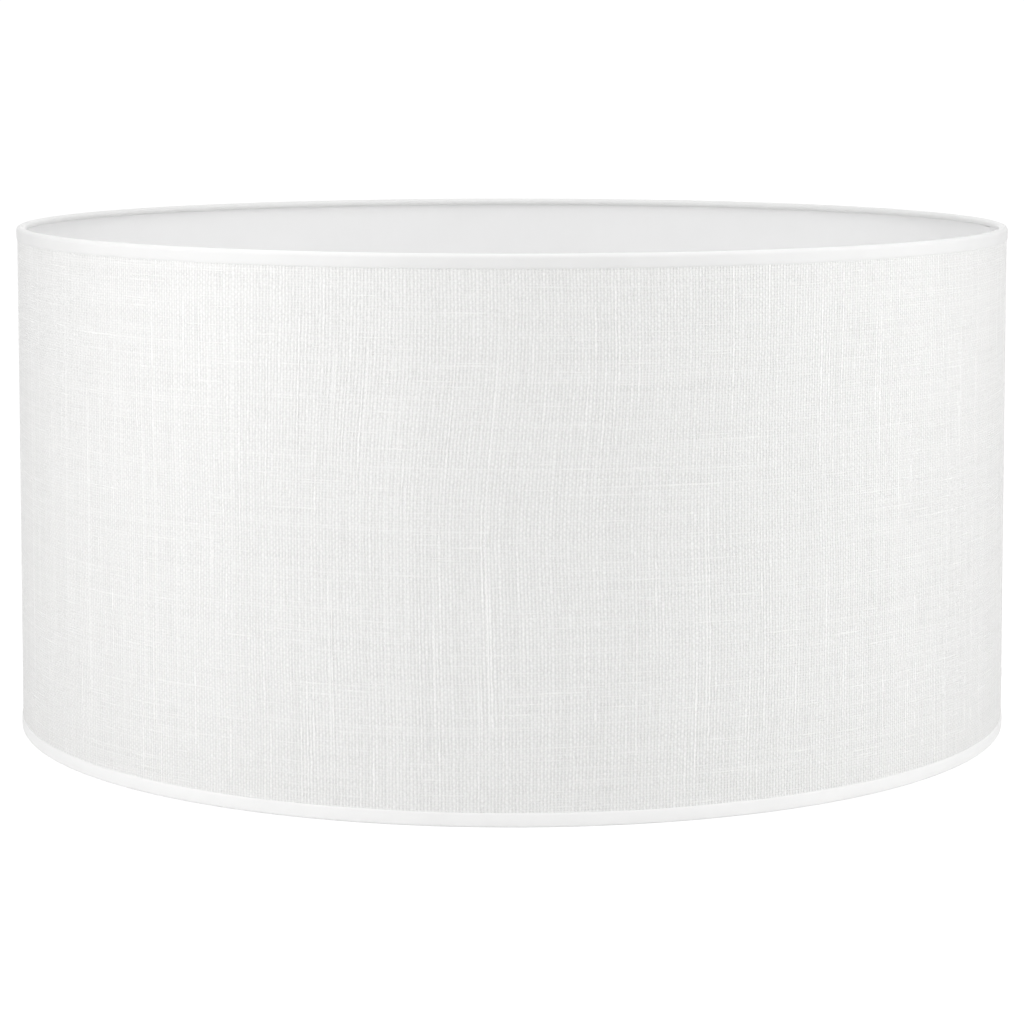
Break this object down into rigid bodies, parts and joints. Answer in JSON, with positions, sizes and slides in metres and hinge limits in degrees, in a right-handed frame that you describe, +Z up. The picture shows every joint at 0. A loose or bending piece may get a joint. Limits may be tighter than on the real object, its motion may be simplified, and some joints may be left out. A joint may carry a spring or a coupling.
{
  "type": "lamp shade",
  "caption": "White drum lamp shade: woven cloth on a stiff liner, edges rolled over wire rings under a folded trim, with a wire spider holding a fitter ring near the bottom.",
  "frame": {"origin": "on the shade's axis, at the level of the bottom edge that it stands on", "axes": "+Z up the axis to the wide open top, +X to the side with the glued seam, -Y to the plain front"},
  "size_m": [0.5, 0.5, 0.252],
  "materials": {
    "woven_fabric": "matt white plain weave with irregular thicker threads both ways",
    "trim_tape": "smooth matt white folded tape",
    "liner_film": "smooth satin white translucent film",
    "adhesive_tape": "double-sided tape, hidden in the seam",
    "ring_steel": "drawn wire, hidden in the edges",
    "coated_steel": "white powder coat"
  },
  "bodies": {
    "root": {"fabric_cover": "woven_fabric", "liner_panel": "liner_film", "seam_tape": "adhesive_tape", "top_trim": "trim_tape", "bottom_trim": "trim_tape", "top_ring": "ring_steel", "bottom_ring": "ring_steel", "spider_arm_1": "coated_steel", "spider_arm_2": "coated_steel", "spider_arm_3": "coated_steel", "fitter_ring": "coated_steel"}
  },
  "joints": []
}
